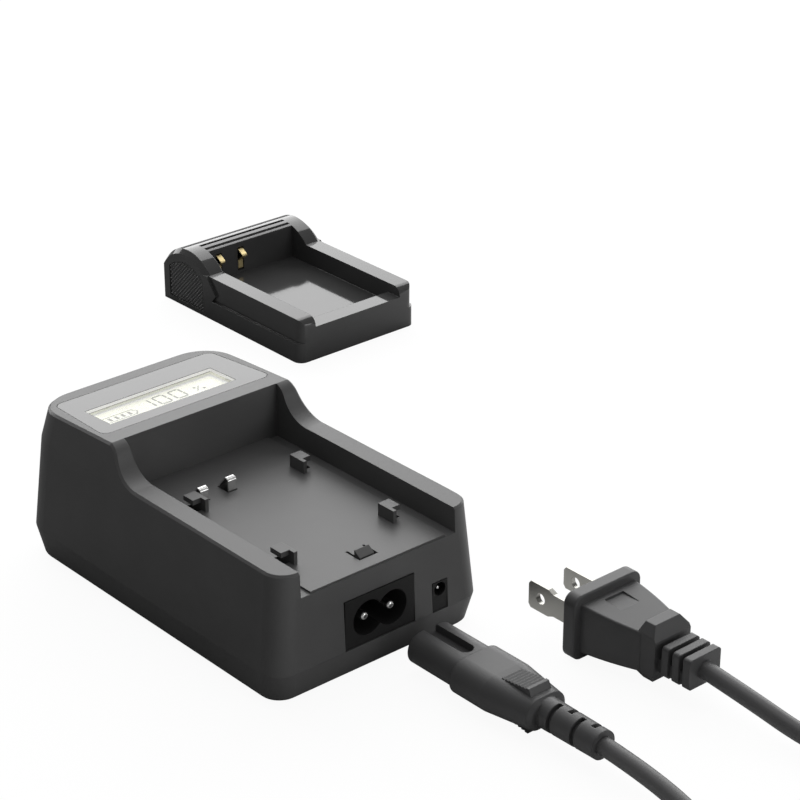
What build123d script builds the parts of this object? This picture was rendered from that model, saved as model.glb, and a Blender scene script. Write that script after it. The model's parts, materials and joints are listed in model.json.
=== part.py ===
from build123d import *
import math
import os

os.makedirs("parts", exist_ok=True)

# Camera battery charger: a mains charger base with a display, a removable battery cradle that
# hooks onto its deck, and a detachable lead with a figure-8 connector and a two-blade plug.
# Millimetres. X runs across the base, +Y from the inlet end to the display end, +Z up.
# The origin is the middle of the base's footprint, on the surface that its feet stand on.

# Base case, in plan
half_width_sole = 33.26
half_width_crease = 34.51
half_width_shoulder = 31.86
front_sole_y = -53.36
front_crease_y = -55.05
front_shoulder_y = -53.9
front_crown_y = -53.4
rear_sole_y = 56.2
rear_crease_y = 57.8
rear_shoulder_y = 56.3
rear_crown_y = 54.6
crown_front_half_width = 31.0
crown_rear_half_width = 28.7
front_corner = 6.0
rear_corner = 11.0

# Base case, in height
foot_stand = 0.6
parting_z = foot_stand + 8.09
shoulder_z = foot_stand + 34.09
rail_top_z = foot_stand + 35.39
crown_z = foot_stand + 46.0
wall = 2.0
edge_break = 0.6

# Display housing and the curve that leads up to it
housing_wall_y = 18.81
housing_top_z = foot_stand + 44.34
housing_slope = 3.26
curve_start_y = 6.5
curve_turn_y = 15.5
curve_turn_z = foot_stand + 41.3

# Pocket between the rails
pocket_half_width = 25.33
deck_half_width = 22.15
deck_z = foot_stand + 28.97
channel_depth = 0.55
deck_thickness = 2.2

# Hooks that hold the cradle: (lowest y, highest y) of the upright and of its lip
hook_height = 3.55
hook_lip_thickness = 1.43
hook_inner_x = 15.8
hook_web = 1.1
hook_outer_x = 19.55
hooks = [((-4.4, 1.5), (-2.6, 1.5)), ((-41.0, -34.9), (-39.15, -34.9))]

# Latch tongue in the deck
tongue_half_width = 2.35
tongue_slot = 0.7
tongue_front_y = -49.2
tongue_root_y = -44.3
latch_peak_y = -47.0
latch_height = 1.4

# Spring contacts of the base, and the gold contacts of the cradle above them
contact_xs = [-4.3, -13.4]
contact_width = 2.6
contact_strip = 0.4
contact_front_rise = 3.2
contact_peak_rise = 3.93
contact_travel = 1.2
contact_clear = 0.3
contact_leg = 6.5

# Mains inlet, figure-8 socket and low-voltage jack, in the front wall
inlet_x = -0.52
inlet_width = 23.17
inlet_height = 14.0
inlet_face_y = -54.8
inlet_depth = 19.0
inlet_clear = 0.15
socket_radius = 4.9
socket_offset = 3.9
socket_depth = 13.0
pin_pitch = 8.6
pin_radius = 1.2
pin_inset = 0.7
pin_tail = 4.0
jack_x = 19.62
jack_width = 5.27
jack_height = 8.54
jack_depth = 13.0
jack_hole_radius = 1.9
jack_hole_depth = 9.0
jack_hole_rise = 6.2
jack_pin_radius = 0.55

# Display
lens_front_y = 24.3
lens_rear_y = 50.3
lens_half_width = 28.0
lens_rear_half_width = 26.2
lens_corner = 2.5
lens_thickness = 1.0
window_x = -1.65
window_width = 41.85
window_front_y = 28.87
window_length = 11.9
glass_margin = 1.2
glass_thickness = 0.8
display_margin = 2.6
display_thickness = 2.8

# Circuit board and what stands on it
board_thickness = 1.6
board_half_width = 29.0
board_front_y = -50.0
board_rear_y = 50.0
board_top_z = foot_stand + 8.1
carrier_width = 14.6
transformer_size = (22.0, 20.0, 17.0)
transformer_place = (9.0, -14.0)
winding_size = (15.0, 27.0, 11.0)
reservoir_radius = 6.5
reservoir_height = 15.0
reservoir_place = (-16.0, -22.0)
output_radius = 4.0
output_height = 12.0
output_place = (16.0, 22.0)
fuse_radius = 2.6
fuse_length = 8.0
fuse_place = (17.5, -32.0)

# Fastenings and feet of the base
screw_places = [(-23.5, -44.5), (23.5, -30.0), (-22.0, 43.0), (22.0, 43.0)]
boss_radius = 3.4
screw_radius = 1.25
screw_clear = 0.2
screw_head_radius = 2.4
screw_head_height = 1.6
screw_length = 9.0
screw_sunk = 1.4
foot_radius = 4.2
foot_sunk = 0.7
foot_places = [(-24.0, -36.5), (24.0, -43.0), (-24.0, 33.0), (24.0, 33.0)]
lip_height = 1.4
lip_thickness = 1.0
lip_clear = 0.2

# Cradle, in its own frame: Y from its front bottom edge to its contact end, Z from its underside
cradle_x = 121.5
cradle_y = 98.7
cradle_length = 72.4
cradle_half_width = 24.34
cradle_rail_half_width = 23.52
cradle_pocket_half_width = 17.70
cradle_rail_z = 14.77
cradle_floor_z = 8.2
cradle_lip_z = 11.41
cradle_lip_y = 6.15
head_depth = 16.3
cradle_wall_y = cradle_length - head_depth
cradle_head_z = 20.16
crest_setback = 11.9
cradle_head_y = cradle_length - crest_setback
arch_setback = 24.0
cradle_arch_y = cradle_length - arch_setback
cradle_rear_z = 13.6
cradle_shell = 1.8
ledge_low_z = 6.70
ledge_high_z = 8.34
ledge_front_y = 1.6
cheek_foot_y = cradle_arch_y - 2.4
cheek_tip_y = cradle_arch_y - 4.4
cheek_bevel = 1.5
groove_ys = [cradle_wall_y + 1.6, cradle_wall_y + 4.5]
groove_width = 1.3
groove_depth = 0.6
panel_depth = 0.4
panel_rear_y = cradle_length - 3.1
panel_front_y = cradle_length - 21.5
panel_low_z = 1.7
panel_high_z = 16.0
cover_thickness = 1.8
cover_clear = 0.15
cover_rim = 2.2
cover_slide = 6.2
gold_width = 1.9
gold_strip = 0.35
gold_reach = 2.5
gold_tip_y = cradle_wall_y - gold_reach
gold_tip_z = 15.3
gold_top_z = 17.0
gold_low_z = 13.2
gold_foot_z = 9.9
gold_travel = 1.0
gold_slot_low_z = 9.4
gold_slot_high_z = 17.7
pad_thickness = 0.3
pad_rise = 2.7
cradle_board_thickness = 1.2
cradle_board_length = 10.0
cradle_board_width = 20.0
cradle_screws = [(0.0, 32.0), (16.0, cradle_length - 7.9)]

# Places of the base's contacts, under the contact end of the seated cradle
cradle_seat_gap = 0.37
contact_setback = 17.63
contact_front_y = front_shoulder_y - cradle_seat_gap + cradle_length - contact_setback
contact_rear_y = contact_front_y + 4.25
contact_peak_y = contact_front_y + 1.4

# Lead: cord, connector and plug
cord_diameter = 4.8
connector_x = 9.7
connector_y = -61.9
connector_z = 6.3
nose_half_width = 7.7
nose_half_height = 4.45
nose_length = 17.5
key_width = 4.4
key_length = 15.7
key_depth = 2.2
grip_half_width = 8.9
grip_half_height = 5.1
grip_taper_start = 28.5
grip_end = 43.6
grip_end_half_width = 6.4
grip_end_half_height = 4.4
thumb_half_width = 3.4
thumb_start = 30.5
thumb_end = 40.1
thumb_rise = 6.3
thumb_teeth = 8
tooth_depth = 0.25
relief_end = 62.3
relief_start_radius = 4.15
relief_end_radius = 3.9
relief_core_radius = 2.9
relief_slot = 1.4
relief_slots_left = [47.5, 55.4]
relief_slots_right = [51.4, 59.3]
bore_radius = 1.2
bore_depth = 15.0

plug_x = 49.2
plug_y = -82.0
plug_z = 9.4
flange_half_width = 12.0
flange_half_height = 9.4
flange_thickness = 4.1
flange_corner = 3.0
plug_front_half_width = 9.9
plug_mid_half_width = 8.6
plug_rear_half_width = 6.5
plug_front_half_height = 7.4
plug_rear_half_height = 5.6
plug_body_end = 22.0
collar_front = 21.6
collar_ridge = 24.9
collar_end = 27.0
collar_half_height = 8.2
collar_end_half_height = 4.7
collar_half_width = 6.4
collar_top_half_width = 4.4
rib_half_width = 5.65
rib_half_height = 4.3
rib_thickness = 2.2
rib_pitch = 3.6
rib_first = 28.6
rib_count = 3
blade_pitch = 12.7
blade_thickness = 1.5
blade_length = 17.6
blade_root = 9.0
blade_width = 6.35
wide_blade_width = 7.94
blade_hole_radius = 1.6
blade_hole_inset = 4.4

# The coil of put-away lead lies outside the stretch that the picture shows
coil_x = 29.5
coil_y = -216.0
coil_inner_radius = 14.4
coil_outer_radius = 33.6
coil_height = 9.6

# Route of the lead from the connector to the coil, and from the plug to the coil
connector_route = [
    (9.7, -124.2, 6.3),
    (9.7, -142.0, 5.4),
    (6.6, -162.0, 3.0),
    (0.4, -181.0, 2.45),
    (-1.7, -198.5, 2.45),
]
plug_route = [
    (49.2, -119.6, 9.4),
    (49.2, -135.0, 8.0),
    (50.9, -152.0, 4.2),
    (54.7, -168.0, 2.7),
    (57.6, -184.0, 4.2),
    (58.3, -198.5, 6.4),
]


def case_level(z, front_y, rear_y, front_half, rear_half, inset=0.0):
    """One level of the case in plan: four drafted walls with rounded corners, drawn in by inset."""
    with BuildSketch(Plane.XY.offset(z)) as level:
        with BuildLine():
            Polyline(
                (-front_half + inset, front_y + inset),
                (front_half - inset, front_y + inset),
                (rear_half - inset, rear_y - inset),
                (-rear_half + inset, rear_y - inset),
                close=True,
            )
        make_face()
        fillet(level.vertices().group_by(Axis.Y)[0], front_corner - inset)
        fillet(level.vertices().group_by(Axis.Y)[-1], rear_corner - inset)
    return level.sketch


def sole_level(z, inset=0.0):
    return case_level(z, front_sole_y, rear_sole_y, half_width_sole, half_width_sole, inset)


def crease_level(z, inset=0.0):
    return case_level(z, front_crease_y, rear_crease_y, half_width_crease, half_width_crease, inset)


def shoulder_level(z, inset=0.0):
    return case_level(z, front_shoulder_y, rear_shoulder_y, half_width_shoulder, half_width_shoulder, inset)


def crown_level(z, inset=0.0):
    return case_level(z, front_crown_y, rear_crown_y, crown_front_half_width, crown_rear_half_width, inset)


def housing_z(y):
    """Height of the sloping top of the display housing at y."""
    return housing_top_z - (y - housing_wall_y) * math.tan(math.radians(housing_slope))


def top_profile(drop):
    """Side view of all that is above the case: the rails, the rising curve and the sloping top."""
    turn_angle = math.atan2(curve_turn_z - rail_top_z, curve_turn_y - curve_start_y) * 2
    with BuildSketch(Plane.YZ) as above:
        with BuildLine():
            rail = Line((-80, rail_top_z - drop), (curve_start_y, rail_top_z - drop))
            rise = TangentArc(rail @ 1, (curve_turn_y, curve_turn_z - drop), tangent=(1, 0))
            crest = TangentArc(
                rise @ 1,
                (housing_wall_y, housing_z(housing_wall_y) - drop),
                tangent=(math.cos(turn_angle), math.sin(turn_angle)),
            )
            top = Line(crest @ 1, (80, housing_z(80) - drop))
            Polyline(top @ 1, (80, 80), (-80, 80), rail @ 0)
        make_face()
    return above.sketch


def housing_plane(y, x=0.0, depth=0.0):
    """Plane on the sloping top of the display housing, or depth below it."""
    slope = math.radians(housing_slope)
    normal = Vector(0, math.sin(slope), math.cos(slope))
    origin = Vector(x, y, housing_z(y)) - normal * depth
    return Plane(origin=origin, x_dir=(1, 0, 0), z_dir=normal)


inlet_low_z = foot_stand + 8.2
inlet_middle_z = inlet_low_z + inlet_height / 2
jack_low_z = foot_stand + 8.12
channel_z = deck_z - channel_depth
board_low_z = board_top_z - board_thickness
lens_length = lens_rear_y - lens_front_y

# Hollow inside the upper shell
with BuildPart() as upper_hollow:
    loft(
        [
            crease_level(parting_z - 0.01, wall),
            shoulder_level(shoulder_z, wall),
            crown_level(crown_z, wall),
        ],
        ruled=True,
    )
    add(extrude(top_profile(wall), amount=60, both=True, mode=Mode.PRIVATE), mode=Mode.SUBTRACT)
    with BuildSketch(Plane.XY.offset(channel_z - deck_thickness)):
        with Locations((0, (housing_wall_y + wall) / 2 - 50)):
            Rectangle(2 * (pocket_half_width + wall), housing_wall_y + wall + 100)
    extrude(amount=40, mode=Mode.SUBTRACT)

# Upper shell: rails, rising curve, display housing, deck with hooks and latch
with BuildPart() as base_upper_shell:
    loft([crease_level(parting_z), shoulder_level(shoulder_z), crown_level(crown_z)], ruled=True)
    add(extrude(top_profile(0), amount=60, both=True, mode=Mode.PRIVATE), mode=Mode.SUBTRACT)
    top_faces = base_upper_shell.faces().filter_by(lambda f: f.normal_at(f.center()).Z > 0.35)
    rim = top_faces.edges().filter_by(lambda e: abs(e.tangent_at(0.5).X) < 0.99 or abs(e.center().Y) > 50)
    chamfer(rim, edge_break)
    add(upper_hollow.part, mode=Mode.SUBTRACT)
    # Pocket for the cradle, open at the front, with a channel each side of the deck
    with BuildSketch(Plane.XY.offset(channel_z)):
        with Locations((0, housing_wall_y / 2 - 50)):
            Rectangle(2 * pocket_half_width, housing_wall_y + 100)
    extrude(amount=40, mode=Mode.SUBTRACT)
    with BuildSketch(Plane.XY.offset(channel_z)):
        with Locations((0, (housing_wall_y + front_shoulder_y) / 2)):
            Rectangle(2 * deck_half_width, housing_wall_y - front_shoulder_y - 0.1)
    extrude(amount=channel_depth)
    # Screw posts
    with BuildSketch(Plane.XY.offset(parting_z)):
        with Locations(*screw_places):
            Circle(boss_radius)
    extrude(until=Until.NEXT)
    # Hooks with an opening under each lip
    for upright, lip in hooks:
        for side in (-1, 1):
            lip_x = side * (hook_inner_x + hook_web + hook_outer_x) / 2
            lip_width = hook_outer_x - hook_inner_x - hook_web
            with BuildSketch(Plane.XY.offset(deck_z)):
                with Locations((side * (hook_inner_x + hook_web / 2), sum(upright) / 2)):
                    Rectangle(hook_web, upright[1] - upright[0])
            extrude(amount=hook_height)
            with BuildSketch(Plane.XY.offset(deck_z + hook_height)):
                with Locations((lip_x, sum(lip) / 2)):
                    Rectangle(lip_width, lip[1] - lip[0])
            extrude(amount=-hook_lip_thickness)
            with BuildSketch(Plane.XY.offset(deck_z)):
                with Locations((lip_x, sum(lip) / 2)):
                    Rectangle(lip_width, lip[1] - lip[0])
            extrude(amount=-deck_thickness - channel_depth, mode=Mode.SUBTRACT)
    # Latch tongue: a slot on three sides and a wedge at its free end
    with BuildSketch(Plane.XY.offset(deck_z)):
        with BuildLine():
            Polyline(
                (-tongue_half_width - tongue_slot, tongue_root_y),
                (-tongue_half_width - tongue_slot, tongue_front_y - tongue_slot),
                (tongue_half_width + tongue_slot, tongue_front_y - tongue_slot),
                (tongue_half_width + tongue_slot, tongue_root_y),
                (tongue_half_width, tongue_root_y),
                (tongue_half_width, tongue_front_y),
                (-tongue_half_width, tongue_front_y),
                (-tongue_half_width, tongue_root_y),
                close=True,
            )
        make_face()
    extrude(amount=-deck_thickness - channel_depth, mode=Mode.SUBTRACT)
    with BuildSketch(Plane.YZ):
        with BuildLine():
            Polyline(
                (tongue_front_y, deck_z),
                (latch_peak_y, deck_z + latch_height),
                (latch_peak_y, deck_z),
                close=True,
            )
        make_face()
    extrude(amount=tongue_half_width, both=True)
    # Slots for the spring contacts
    with BuildSketch(Plane.XY.offset(deck_z)):
        with Locations(*[(x, (contact_front_y + contact_rear_y) / 2) for x in contact_xs]):
            Rectangle(contact_width + 2 * contact_clear, contact_rear_y - contact_front_y + 2 * contact_clear)
    extrude(amount=-deck_thickness - channel_depth, mode=Mode.SUBTRACT)
    # Openings for the inlet and the jack, both from the parting line up
    with BuildSketch(Plane.XZ.offset(-front_crease_y + 1)):
        with Locations((inlet_x, (parting_z + inlet_low_z + inlet_height) / 2)):
            Rectangle(inlet_width, inlet_low_z + inlet_height - parting_z)
        with Locations((jack_x, (parting_z + jack_low_z + jack_height) / 2)):
            Rectangle(jack_width, jack_low_z + jack_height - parting_z)
    extrude(amount=-wall - 3, mode=Mode.SUBTRACT)
    # Seat of the display plate, and the opening for the window and the display below it
    with BuildSketch(housing_plane(lens_front_y)) as lens_seat:
        with BuildLine():
            Polyline(
                (-lens_half_width, 0),
                (lens_half_width, 0),
                (lens_rear_half_width, lens_length),
                (-lens_rear_half_width, lens_length),
                close=True,
            )
        make_face()
        fillet(lens_seat.vertices(), lens_corner)
    extrude(amount=-lens_thickness, mode=Mode.SUBTRACT)
    with BuildSketch(housing_plane(window_front_y + window_length / 2, window_x, lens_thickness)):
        Rectangle(window_width + 2 * display_margin + 0.4, window_length + 2 * display_margin + 0.4)
    extrude(amount=-wall * 2, mode=Mode.SUBTRACT)
    # Pilot holes for the case screws
    with BuildSketch(Plane.XY.offset(parting_z)):
        with Locations(*screw_places):
            Circle(screw_radius)
    extrude(amount=screw_length, mode=Mode.SUBTRACT)
base_upper_shell.part.label = "base_upper_shell"
export_step(base_upper_shell.part, "parts/base_upper_shell.step")

# Lower shell: a shallow tray with screw bosses, board pillars, a locating lip and foot seats
with BuildPart() as base_lower_shell:
    loft(
        [
            sole_level(foot_stand, edge_break),
            sole_level(foot_stand + edge_break),
            crease_level(parting_z),
        ],
        ruled=True,
    )
    loft(
        [sole_level(foot_stand + wall, wall), crease_level(parting_z + 0.01, wall)],
        ruled=True,
        mode=Mode.SUBTRACT,
    )
    with BuildSketch(Plane.XY.offset(foot_stand + wall)):
        with Locations(*screw_places):
            Circle(boss_radius)
    extrude(amount=parting_z - foot_stand - wall)
    with BuildSketch(Plane.XY.offset(foot_stand + wall)):
        with GridLocations(44, 36, 2, 2):
            Circle(2.0)
    extrude(amount=board_low_z - foot_stand - wall)
    with BuildSketch(Plane.XY.offset(foot_stand)):
        with Locations(*screw_places):
            Circle(screw_head_radius + screw_clear)
    extrude(amount=screw_sunk + screw_head_height, mode=Mode.SUBTRACT)
    with BuildSketch(Plane.XY.offset(foot_stand)):
        with Locations(*screw_places):
            Circle(screw_radius + screw_clear)
    extrude(amount=parting_z, mode=Mode.SUBTRACT)
    with BuildSketch(Plane.XY.offset(foot_stand)):
        with Locations(*foot_places):
            Circle(foot_radius)
    extrude(amount=foot_sunk, mode=Mode.SUBTRACT)
base_lower_shell.part.label = "base_lower_shell"
export_step(base_lower_shell.part, "parts/base_lower_shell.step")

# Four case screws with domed heads
with BuildPart() as case_screws:
    with BuildSketch(Plane.XY.offset(foot_stand + screw_sunk)):
        with Locations(*screw_places):
            Circle(screw_head_radius)
    extrude(amount=screw_head_height)
    chamfer(case_screws.faces().group_by(Axis.Z)[0].edges(), 0.5)
    with BuildSketch(Plane.XY.offset(foot_stand + screw_sunk + screw_head_height)):
        with Locations(*screw_places):
            Circle(screw_radius)
    extrude(amount=parting_z + screw_length - foot_stand - screw_sunk - screw_head_height - 0.5)
    with BuildSketch(Plane.XY.offset(foot_stand + screw_sunk)):
        for place in screw_places:
            with Locations(place):
                Rectangle(2.6, 0.6)
                Rectangle(0.6, 2.6)
    extrude(amount=1.0, mode=Mode.SUBTRACT)
case_screws.part.label = "case_screws"
export_step(case_screws.part, "parts/case_screws.step")

# Four rubber feet
with BuildPart() as rubber_feet:
    with BuildSketch(Plane.XY):
        with Locations(*foot_places):
            Circle(foot_radius)
    extrude(amount=foot_stand + foot_sunk)
    chamfer(rubber_feet.faces().group_by(Axis.Z)[0].edges(), 0.4)
rubber_feet.part.label = "rubber_feet"
export_step(rubber_feet.part, "parts/rubber_feet.step")

# Display plate with its window opening
with BuildPart() as display_plate:
    with BuildSketch(housing_plane(lens_front_y)) as plate_outline:
        with BuildLine():
            Polyline(
                (-lens_half_width + 0.1, 0.1),
                (lens_half_width - 0.1, 0.1),
                (lens_rear_half_width - 0.1, lens_length - 0.1),
                (-lens_rear_half_width + 0.1, lens_length - 0.1),
                close=True,
            )
        make_face()
        fillet(plate_outline.vertices(), lens_corner)
    extrude(amount=-lens_thickness)
    with BuildSketch(housing_plane(window_front_y + window_length / 2, window_x)):
        Rectangle(window_width, window_length)
    extrude(amount=-lens_thickness, mode=Mode.SUBTRACT)
display_plate.part.label = "display_plate"
export_step(display_plate.part, "parts/display_plate.step")

# Clear window behind the opening
with BuildPart() as display_window:
    with BuildSketch(housing_plane(window_front_y + window_length / 2, window_x, lens_thickness)):
        Rectangle(window_width + 2 * glass_margin, window_length + 2 * glass_margin)
    extrude(amount=-glass_thickness)
display_window.part.label = "display_window"
export_step(display_window.part, "parts/display_window.step")

# Liquid crystal module under the window
with BuildPart() as display_module:
    with BuildSketch(
        housing_plane(window_front_y + window_length / 2, window_x, lens_thickness + glass_thickness)
    ):
        Rectangle(window_width + 2 * display_margin, window_length + 2 * display_margin)
    extrude(amount=-display_thickness)
display_module.part.label = "display_module"
export_step(display_module.part, "parts/display_module.step")

# Main circuit board, cut out round the screw bosses
with BuildPart() as main_board:
    with BuildSketch(Plane.XY.offset(board_low_z)) as board_outline:
        with Locations((0, (board_front_y + board_rear_y) / 2)):
            RectangleRounded(2 * board_half_width, board_rear_y - board_front_y, 6)
        with Locations(*screw_places):
            Circle(boss_radius + 0.4, mode=Mode.SUBTRACT)
    extrude(amount=board_thickness)
main_board.part.label = "main_board"
export_step(main_board.part, "parts/main_board.step")

# Mains inlet: a block with a figure-8 socket, its waist narrowed by a rib top and bottom
inlet_front = Plane(origin=(inlet_x, inlet_face_y, inlet_middle_z), x_dir=(1, 0, 0), z_dir=(0, -1, 0))
with BuildPart() as mains_inlet:
    with BuildSketch(inlet_front):
        Rectangle(inlet_width - 2 * inlet_clear, inlet_height - inlet_clear)
    extrude(amount=-inlet_depth)
    with BuildSketch(inlet_front):
        with Locations((-socket_offset, 0), (socket_offset, 0)):
            Circle(socket_radius)
    extrude(amount=-socket_depth, mode=Mode.SUBTRACT)
    with BuildSketch(inlet_front.offset(-inlet_depth)):
        with Locations((-pin_pitch / 2, 0), (pin_pitch / 2, 0)):
            Circle(pin_radius)
    extrude(amount=inlet_depth, mode=Mode.SUBTRACT)
mains_inlet.part.label = "mains_inlet"
export_step(mains_inlet.part, "parts/mains_inlet.step")

# Two inlet pins with rounded tips and solder tails
with BuildPart() as mains_inlet_pins:
    with BuildSketch(inlet_front.offset(-pin_inset)):
        with Locations((-pin_pitch / 2, 0), (pin_pitch / 2, 0)):
            Circle(pin_radius)
    extrude(amount=-(inlet_depth - pin_inset + pin_tail))
    fillet(mains_inlet_pins.faces().group_by(Axis.Y)[0].edges(), 0.8)
mains_inlet_pins.part.label = "mains_inlet_pins"
export_step(mains_inlet_pins.part, "parts/mains_inlet_pins.step")

# Low-voltage jack and its centre pin
jack_front = Plane(
    origin=(jack_x, inlet_face_y, jack_low_z + jack_height / 2), x_dir=(1, 0, 0), z_dir=(0, -1, 0)
)
jack_hole_up = jack_hole_rise - jack_height / 2
with BuildPart() as dc_jack:
    with BuildSketch(jack_front):
        Rectangle(jack_width - 2 * inlet_clear, jack_height - inlet_clear)
    extrude(amount=-jack_depth)
    with BuildSketch(jack_front):
        with Locations((0, jack_hole_up)):
            Circle(jack_hole_radius)
    extrude(amount=-jack_hole_depth, mode=Mode.SUBTRACT)
    with BuildSketch(jack_front):
        with Locations((0, jack_hole_up)):
            Circle(jack_pin_radius)
    extrude(amount=-jack_depth, mode=Mode.SUBTRACT)
dc_jack.part.label = "dc_jack"
export_step(dc_jack.part, "parts/dc_jack.step")

with BuildPart() as dc_jack_pin:
    with BuildSketch(jack_front.offset(-pin_inset)):
        with Locations((0, jack_hole_up)):
            Circle(jack_pin_radius)
    extrude(amount=-(jack_depth - pin_inset))
    fillet(dc_jack_pin.faces().sort_by(Axis.Y)[0].edges(), 0.4)
dc_jack_pin.part.label = "dc_jack_pin"
export_step(dc_jack_pin.part, "parts/dc_jack_pin.step")

# Carrier that guides the two spring contacts under the deck
deck_underside_z = channel_z - deck_thickness
contact_middle_x = sum(contact_xs) / 2
contact_middle_y = (contact_front_y + contact_rear_y) / 2
contact_length = contact_rear_y - contact_front_y
well_depth = contact_leg - (deck_z - deck_underside_z) + contact_travel + contact_clear
with BuildPart() as contact_carrier:
    with BuildSketch(Plane.XY.offset(board_top_z)):
        with Locations((contact_middle_x, contact_middle_y)):
            Rectangle(carrier_width, contact_length + 4)
    extrude(amount=deck_underside_z - board_top_z)
    with BuildSketch(Plane.XY.offset(deck_underside_z)):
        with Locations(*[(x, contact_middle_y) for x in contact_xs]):
            Rectangle(contact_width + 2 * contact_clear, contact_length + 2 * contact_clear)
    extrude(amount=-well_depth, mode=Mode.SUBTRACT)
contact_carrier.part.label = "contact_carrier"
export_step(contact_carrier.part, "parts/contact_carrier.step")

# Spring contacts: strips bent over like a roof, whose two legs run down into the carrier
for label, x in zip(["base_contact_right", "base_contact_left"], contact_xs):
    with BuildPart() as base_contact:
        with BuildSketch(Plane.YZ.offset(x)) as strip:
            with BuildLine() as bend:
                FilletPolyline(
                    (contact_front_y + contact_strip / 2, deck_z - contact_leg),
                    (contact_front_y + contact_strip / 2, deck_z + contact_front_rise),
                    (contact_peak_y, deck_z + contact_peak_rise - contact_strip / 2),
                    (contact_rear_y - contact_strip / 2, deck_z + 0.6),
                    (contact_rear_y - contact_strip / 2, deck_z - contact_leg),
                    radius=0.45,
                )
                offset(bend.line, amount=contact_strip / 2, side=Side.BOTH)
            make_face()
        extrude(amount=contact_width / 2, both=True)
    base_contact.part.label = label
    export_step(base_contact.part, f"parts/{label}.step")

# Transformer: a ferrite frame round a wound bobbin
frame_x, frame_y, frame_z = transformer_size
wind_x, wind_y, wind_z = winding_size
with BuildPart() as transformer_core:
    with BuildSketch(Plane.XY.offset(board_top_z)):
        with Locations(transformer_place):
            Rectangle(frame_x, frame_y)
    extrude(amount=frame_z)
    with BuildSketch(Plane.XY.offset(board_top_z + (frame_z - wind_z) / 2)):
        with Locations(transformer_place):
            Rectangle(wind_x, frame_y)
    extrude(amount=wind_z, mode=Mode.SUBTRACT)
transformer_core.part.label = "transformer_core"
export_step(transformer_core.part, "parts/transformer_core.step")

with BuildPart() as transformer_winding:
    with BuildSketch(Plane.XY.offset(board_top_z + (frame_z - wind_z) / 2)):
        with Locations(transformer_place):
            Rectangle(wind_x, wind_y)
    extrude(amount=wind_z)
    fillet(transformer_winding.edges().filter_by(Axis.Y), 2)
transformer_winding.part.label = "transformer_winding"
export_step(transformer_winding.part, "parts/transformer_winding.step")

# Reservoir and output capacitors, and the fuse, standing on the board
with BuildPart() as reservoir_capacitor:
    with BuildSketch(Plane.XY.offset(board_top_z)):
        with Locations(reservoir_place):
            Circle(reservoir_radius)
    extrude(amount=reservoir_height)
    chamfer(reservoir_capacitor.faces().filter_by(Axis.Z).edges(), 0.6)
reservoir_capacitor.part.label = "reservoir_capacitor"
export_step(reservoir_capacitor.part, "parts/reservoir_capacitor.step")

with BuildPart() as output_capacitor:
    with BuildSketch(Plane.XY.offset(board_top_z)):
        with Locations(output_place):
            Circle(output_radius)
    extrude(amount=output_height)
    chamfer(output_capacitor.faces().filter_by(Axis.Z).edges(), 0.5)
output_capacitor.part.label = "output_capacitor"
export_step(output_capacitor.part, "parts/output_capacitor.step")

with BuildPart() as fuse:
    with BuildSketch(Plane.XY.offset(board_top_z)):
        with Locations(fuse_place):
            Circle(fuse_radius)
    extrude(amount=fuse_length)
fuse.part.label = "fuse"
export_step(fuse.part, "parts/fuse.step")


def cradle_plan(z):
    """Horizontal plane of the cradle at height z above its underside."""
    return Plane(origin=(cradle_x, cradle_y, z))


def cradle_side(x):
    """Upright plane of the cradle, seen from its side, at x from its middle."""
    return Plane(origin=(cradle_x + x, cradle_y, 0), x_dir=(0, 1, 0), z_dir=(1, 0, 0))


def cradle_profile(x, bevel):
    """Side view of the cradle at x from its middle, its arched head drawn in by bevel."""
    head_z = cradle_head_z - bevel
    front_radius = (cradle_head_y - cradle_arch_y) ** 2 / (2 * (cradle_head_z - cradle_rail_z))
    front_radius += (cradle_head_z - cradle_rail_z) / 2 - bevel
    rise = front_radius - head_z + cradle_rail_z
    arch_y = cradle_head_y - math.sqrt(front_radius**2 - rise**2)
    with BuildSketch(cradle_side(x)) as profile:
        with BuildLine():
            Polyline(
                (arch_y, cradle_rail_z),
                (0, cradle_rail_z),
                (0, 0),
                (cradle_length, 0),
                (cradle_length, cradle_rear_z - bevel),
            )
            TangentArc((cradle_head_y, head_z), (arch_y, cradle_rail_z), tangent=(-1, 0))
            TangentArc((cradle_head_y, head_z), (cradle_length, cradle_rear_z - bevel), tangent=(1, 0))
        make_face()
    return profile.sketch


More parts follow.
